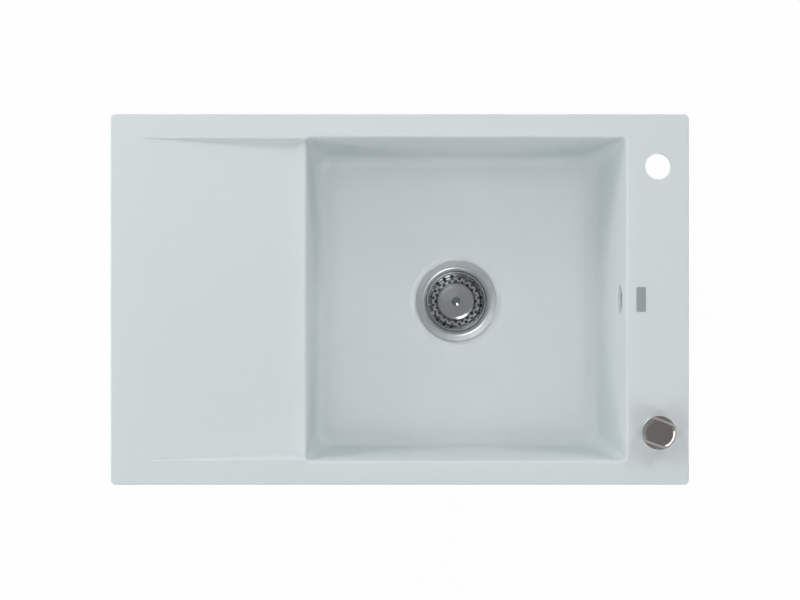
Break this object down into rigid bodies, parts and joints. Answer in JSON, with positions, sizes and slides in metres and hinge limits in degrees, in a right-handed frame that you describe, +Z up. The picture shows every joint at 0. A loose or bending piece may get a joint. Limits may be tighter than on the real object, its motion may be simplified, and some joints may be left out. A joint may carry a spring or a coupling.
{
  "type": "kitchen sink",
  "caption": "Inset composite kitchen sink with a drainer, one bowl, an overflow and a basket strainer waste that a rotary knob on the ledge opens and closes.",
  "frame": {"origin": "middle of the sink in plan, on the plane of the rim's underside, which is the worktop's surface", "axes": "+X to the right with the drainer on the left, +Y to the back, +Z up"},
  "size_m": [0.78, 0.5, 0.3366],
  "materials": {
    "composite": "matt, cast quartz and resin with a fine grain",
    "satin_steel": "pressed stainless steel, satin",
    "polished_steel": "pressed stainless steel, polished",
    "smoked_chrome": "brushed dark chrome on moulded plastic",
    "plate_metal": "satin anodised",
    "zinc_steel": "zinc plated",
    "brass": "turned",
    "white_plastic": "moulded polypropylene",
    "grey_plastic": "moulded, glass filled",
    "acetal": "moulded, natural colour",
    "rubber": "moulded seal rubber",
    "foam_strip": "closed-cell foam strip",
    "hose_plastic": "corrugated polypropylene",
    "sheath_plastic": "extruded black sheath"
  },
  "bodies": {
    "sink": {"sink_body": "composite", "name_plate": "plate_metal", "sealing_strip": "foam_strip", "strainer_cup": "satin_steel", "cup_seal": "rubber", "floor_gasket": "rubber", "waste_body": "white_plastic", "cup_screws": "zinc_steel", "pin_guide": "white_plastic", "shaft_seal": "rubber", "gland_nut": "white_plastic", "cable_bracket": "zinc_steel", "bracket_screws": "zinc_steel", "waste_ferrule": "zinc_steel", "cable_sheath": "sheath_plastic", "knob_ferrule": "zinc_steel", "end_cap": "grey_plastic", "retaining_ring": "zinc_steel", "actuator_sleeve": "grey_plastic", "deck_seal": "rubber", "deck_washer": "zinc_steel", "lock_nut": "white_plastic", "knob_base_ring": "smoked_chrome", "overflow_grille": "satin_steel", "overflow_screw": "zinc_steel", "overflow_gasket": "rubber", "overflow_elbow": "white_plastic", "overflow_hose": "hose_plastic", "hose_clips": "zinc_steel", "stud_inserts": "brass", "clip_studs": "zinc_steel", "wing_nuts": "zinc_steel"},
    "knob": {"control_knob": "smoked_chrome", "cam_barrel": "acetal"},
    "slider": {"cam_slider": "acetal", "cam_pin": "zinc_steel", "knob_wire": "zinc_steel"},
    "wire": {"waste_wire": "zinc_steel"},
    "rocker": {"rocker_shaft": "zinc_steel", "lift_finger": "acetal", "crank_arm": "acetal", "crank_screw": "zinc_steel"},
    "lift_pin_body": {"lift_pin": "acetal"},
    "basket_body": {"basket": "polished_steel", "basket_seal": "rubber", "basket_hub": "white_plastic", "basket_knob": "polished_steel"},
    "claw_front_left_body": {"claw_front_left": "zinc_steel"},
    "claw_front_middle_body": {"claw_front_middle": "zinc_steel"},
    "claw_front_right_body": {"claw_front_right": "zinc_steel"},
    "claw_back_left_body": {"claw_back_left": "zinc_steel"},
    "claw_back_middle_body": {"claw_back_middle": "zinc_steel"},
    "claw_back_right_body": {"claw_back_right": "zinc_steel"},
    "claw_left_body": {"claw_left": "zinc_steel"},
    "claw_right_body": {"claw_right": "zinc_steel"}
  },
  "joints": [
    {"name": "knob_turn", "type": "hinge", "parent": "sink", "child": "knob", "pos_m": [0.3485, -0.1795, 0.02], "axis": [0, 0, 1], "range_deg": [0, 90]},
    {"name": "slider_rise", "type": "slide", "parent": "sink", "child": "slider", "axis": [0, 0, 1], "range_m": [0, 0.009]},
    {"name": "wire_pull", "type": "slide", "parent": "sink", "child": "wire", "axis": [1, 0, 0], "range_m": [0, 0.009]},
    {"name": "rocker_turn", "type": "hinge", "parent": "sink", "child": "rocker", "pos_m": [0.1006, 0, -0.262], "axis": [0, 1, 0], "range_deg": [0, 28]},
    {"name": "pin_rise", "type": "slide", "parent": "sink", "child": "lift_pin_body", "axis": [0, 0, 1], "range_m": [0, 0.009]},
    {"name": "basket_lift_out", "type": "slide", "parent": "lift_pin_body", "child": "basket_body", "axis": [0, 0, 1], "range_m": [0, 0.26]},
    {"name": "claw_front_left_swing", "type": "hinge", "parent": "sink", "child": "claw_front_left_body", "pos_m": [-0.27, -0.2315, -0.0345], "axis": [0, 0, -1], "range_deg": [0, 90]},
    {"name": "claw_front_middle_swing", "type": "hinge", "parent": "sink", "child": "claw_front_middle_body", "pos_m": [0, -0.2315, -0.0345], "axis": [0, 0, -1], "range_deg": [0, 90]},
    {"name": "claw_front_right_swing", "type": "hinge", "parent": "sink", "child": "claw_front_right_body", "pos_m": [0.27, -0.2315, -0.0345], "axis": [0, 0, 1], "range_deg": [0, 90]},
    {"name": "claw_back_left_swing", "type": "hinge", "parent": "sink", "child": "claw_back_left_body", "pos_m": [-0.27, 0.2315, -0.0345], "axis": [0, 0, 1], "range_deg": [0, 90]},
    {"name": "claw_back_middle_swing", "type": "hinge", "parent": "sink", "child": "claw_back_middle_body", "pos_m": [0, 0.2315, -0.0345], "axis": [0, 0, 1], "range_deg": [0, 90]},
    {"name": "claw_back_right_swing", "type": "hinge", "parent": "sink", "child": "claw_back_right_body", "pos_m": [0.27, 0.2315, -0.0345], "axis": [0, 0, -1], "range_deg": [0, 90]},
    {"name": "claw_left_swing", "type": "hinge", "parent": "sink", "child": "claw_left_body", "pos_m": [-0.3715, 0, -0.0345], "axis": [0, 0, 1], "range_deg": [0, 90]},
    {"name": "claw_right_swing", "type": "hinge", "parent": "sink", "child": "claw_right_body", "pos_m": [0.3715, 0, -0.0345], "axis": [0, 0, -1], "range_deg": [0, 90]}
  ],
  "couplings": [
    {"joint": "slider_rise", "follows": "knob_turn", "m_per_rad": 0.0057296},
    {"joint": "wire_pull", "follows": "knob_turn", "m_per_rad": 0.0057296},
    {"joint": "rocker_turn", "follows": "knob_turn", "ratio": 0.31113},
    {"joint": "pin_rise", "follows": "knob_turn", "m_per_rad": 0.0057296}
  ]
}
